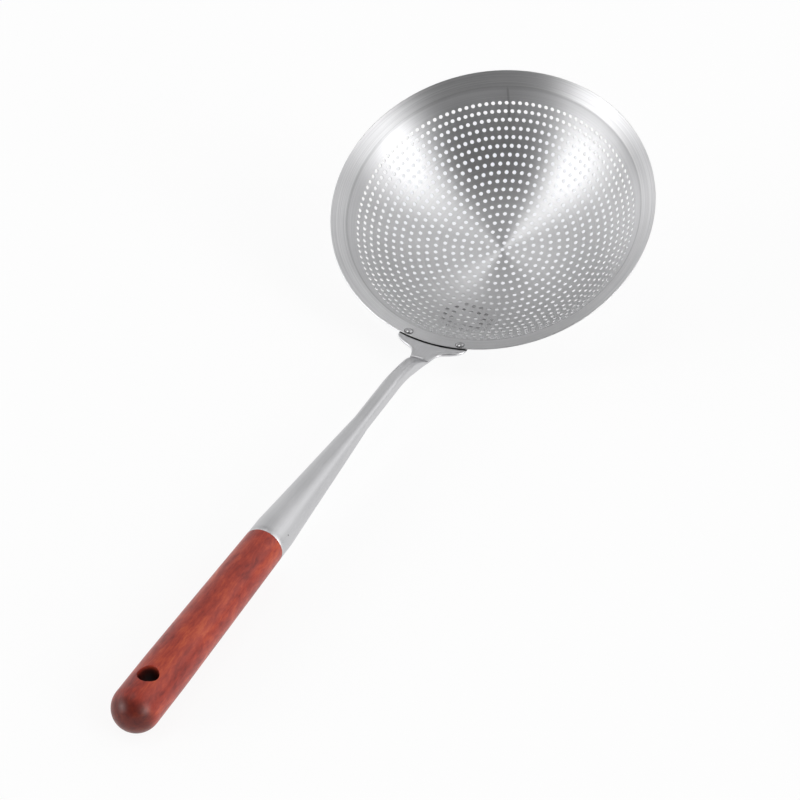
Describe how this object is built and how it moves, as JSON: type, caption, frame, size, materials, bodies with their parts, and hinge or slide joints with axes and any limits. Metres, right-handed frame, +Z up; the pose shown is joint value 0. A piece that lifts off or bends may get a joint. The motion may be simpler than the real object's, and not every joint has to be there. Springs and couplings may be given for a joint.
{
  "type": "slotted spoon",
  "caption": "Large skimmer spoon with a shallow round perforated steel bowl, a hollow steel arm riveted under its flange, and a turned wood grip with a hang hole",
  "frame": {"origin": "centre of the footprint, on the surface the spoon rests on", "axes": "+X runs from the bowl along the arm to the grip, +Z is up, +Y is to the left when looking along +X; the XZ plane is the plane of symmetry of the arm and grip"},
  "size_m": [0.4893, 0.18, 0.1037],
  "materials": {
    "bowl_steel": "spun satin",
    "arm_steel": "satin",
    "grip_wood": "semi-gloss stained",
    "rivet_steel": "polished"
  },
  "bodies": {
    "root": {"bowl": "bowl_steel", "arm": "arm_steel", "grip": "grip_wood", "rivet_left": "rivet_steel", "rivet_right": "rivet_steel"}
  },
  "joints": []
}
